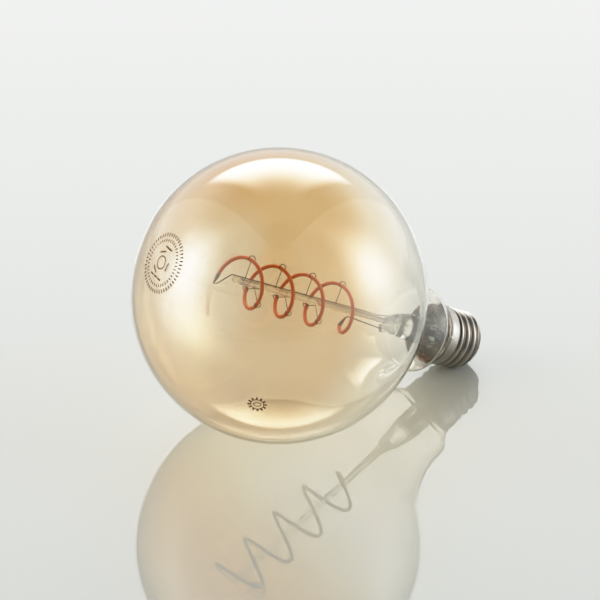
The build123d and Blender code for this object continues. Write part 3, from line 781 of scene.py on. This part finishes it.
# Painted shade: darker from the crests of the thread to its roots, and fully dark nearer the axis.
shaded_root_share = add(tree, "ShaderNodeMapRange", {
    "Value": from_axis.outputs["Value"], "From Min": BRIGHT_RADIUS * MM,
    "From Max": SHADED_ROOT_RADIUS * MM,
})
painted_root_shade = add(tree, "ShaderNodeMix", {
    0: shaded_root_share.outputs["Result"], 6: srgb("b4afa7"), 7: srgb("786c62"),
}, data_type="RGBA")
plate = add(tree, "ShaderNodeBsdfPrincipled", {
    "Base Color": painted_root_shade.outputs[2], "Metallic": 1.0, "Roughness": worn.outputs["Result"],
    "Normal": ridges.outputs["Normal"],
})
show(tree, plate.outputs["BSDF"])


def smooth(value):
    """Eases a value between 0 and 1."""
    value = min(max(value, 0.0), 1.0)
    return value * value * (3 - 2 * value)


outer = arc((RIM_X + 0.4, CREST_RADIUS), RIM_BEAD, math.pi, 0.0, RIM_STEPS)
outer += [(FLARE_END, SKIRT_RADIUS), *SKIRT_STEP]
row_start = THREAD_FROM + THREAD_MARGIN
row_step = (THREAD_TO - THREAD_MARGIN - row_start) / THREAD_ROWS
outer += [(row_start + row_step * i, THREAD_ROOT) for i in range(THREAD_ROWS + 1)]
mesh = spun(outer + list(NOSE_OUTLINE + INNER_OUTLINE), SHELL_STEPS)
for vert in mesh.verts:
    radius = math.hypot(vert.co.y, vert.co.z)
    if radius < INNER_WALL or not THREAD_FROM < vert.co.x < THREAD_TO:
        continue
    turn = math.atan2(vert.co.z, vert.co.y) + math.pi / 2
    phase = (vert.co.x - LAST_CREST_X) / THREAD_PITCH - turn / math.tau
    wave = (0.5 + 0.5 * math.cos(math.tau * phase)) ** THREAD_FULLNESS
    run_in = smooth((vert.co.x - THREAD_FROM) / THREAD_FADE)
    run_out = smooth((THREAD_TO - vert.co.x) / THREAD_FADE)
    lift = (CREST_RADIUS - THREAD_ROOT) * wave * run_in * run_out / radius
    vert.co.y *= 1 + lift
    vert.co.z *= 1 + lift
place(mesh, "rolled_shell", nickel, ["screw_shell"])


# Cement and solder. Brown basing cement fills the gap between the neck and the shell. The shell
# wire comes out through it and is held by a bead of bright solder beside the rim.
# Matt and grainy, grey where it is fresh from the pot and orange where it was baked.
rough_cement, tree = blank("brown_basing_cement")
grain = add(tree, "ShaderNodeTexNoise", {
    "Vector": bulb_place(tree), "Scale": 420.0, "Detail": 6.0,
})
baked = add(tree, "ShaderNodeValToRGB", {"Fac": grain.outputs["Fac"]})
for stop, (position, code) in zip(baked.color_ramp.elements, ((0.38, "3a3632"), (0.62, "b0703c"))):
    stop.position, stop.color = position, srgb(code)
crumbs = add(tree, "ShaderNodeBump", {
    "Height": grain.outputs["Fac"], "Strength": 0.8, "Distance": 0.0003,
})
paste = add(tree, "ShaderNodeBsdfPrincipled", {
    "Base Color": baked.outputs["Color"], "Roughness": 0.9, "Normal": crumbs.outputs["Normal"],
})
show(tree, paste.outputs["BSDF"])
dress(rough_cement, "basing_cement")

# Bright silver, with the soft dents of a drop that set as it cooled.
solder, tree = blank("bright_tin_solder")
pool = add(tree, "ShaderNodeTexNoise", {
    "Vector": bulb_place(tree), "Scale": 700.0, "Detail": 2.0,
})
skin = add(tree, "ShaderNodeBump", {
    "Height": pool.outputs["Fac"], "Strength": 0.5, "Distance": 0.0002,
})
tin = add(tree, "ShaderNodeBsdfPrincipled", {
    "Base Color": srgb("d8d8d4"), "Metallic": 1.0, "Roughness": 0.22,
    "Normal": skin.outputs["Normal"],
})
show(tree, tin.outputs["BSDF"])
dress(solder, "side_solder", "contact_solder")


# Insulator and contact. Black glass is moulded into the nose, round a nickel-plated contact.
# Glossy and nearly black.
black, tree = blank("black_moulded_glass")
vitreous = add(tree, "ShaderNodeBsdfPrincipled", {
    "Base Color": srgb("121114"), "Roughness": 0.12, "IOR": 1.55,
})
show(tree, vitreous.outputs["BSDF"])
dress(black, "cap_insulator")
dress(nickel, "centre_contact")


# Driver. A round board closes the mouth of a white cup in the base. Parts on its face show
# through the neck, and the tall parts and the radio stand behind it.
FINISHES = {
    # name: colour, roughness, metallic, pieces
    "grey_solder_mask": ("3e403a", 0.45, 0.0, ("driver_board", "wireless_board")),
    "black_epoxy": ("141416", 0.4, 0.0, ("driver_chip", "bridge_rectifier")),
    "tin_plated_can": ("9aa6ae", 0.3, 1.0, ("wireless_shield", "wireless_module")),
    "white_moulded_cup": ("dcdcd4", 0.5, 0.0, ("driver_sleeve",)),
    "shrunk_sleeve": ("1c2030", 0.3, 0.0, ("smoothing_capacitor",)),
    "sintered_ferrite": ("2c2a2a", 0.7, 0.0, ("inductor_core",)),
    "enamelled_copper": ("b4683c", 0.3, 1.0, ("inductor_winding", "contact_wire", "shell_wire")),
    "lacquered_resistor": ("8298a2", 0.35, 0.0, ("fusible_resistor", "chip_resistors")),
}
for name, (code, roughness, metallic, pieces) in FINISHES.items():
    finish, tree = blank(name)
    speck = add(tree, "ShaderNodeTexNoise", {
        "Vector": bulb_place(tree), "Scale": 1200.0, "Detail": 3.0,
    })
    uneven = add(tree, "ShaderNodeMapRange", {
        "Value": speck.outputs["Fac"], "To Min": roughness * 0.8, "To Max": roughness * 1.2,
    })
    body = add(tree, "ShaderNodeBsdfPrincipled", {
        "Base Color": srgb(code), "Metallic": metallic, "Roughness": uneven.outputs["Result"],
    })
    show(tree, body.outputs["BSDF"])
    dress(finish, *pieces)
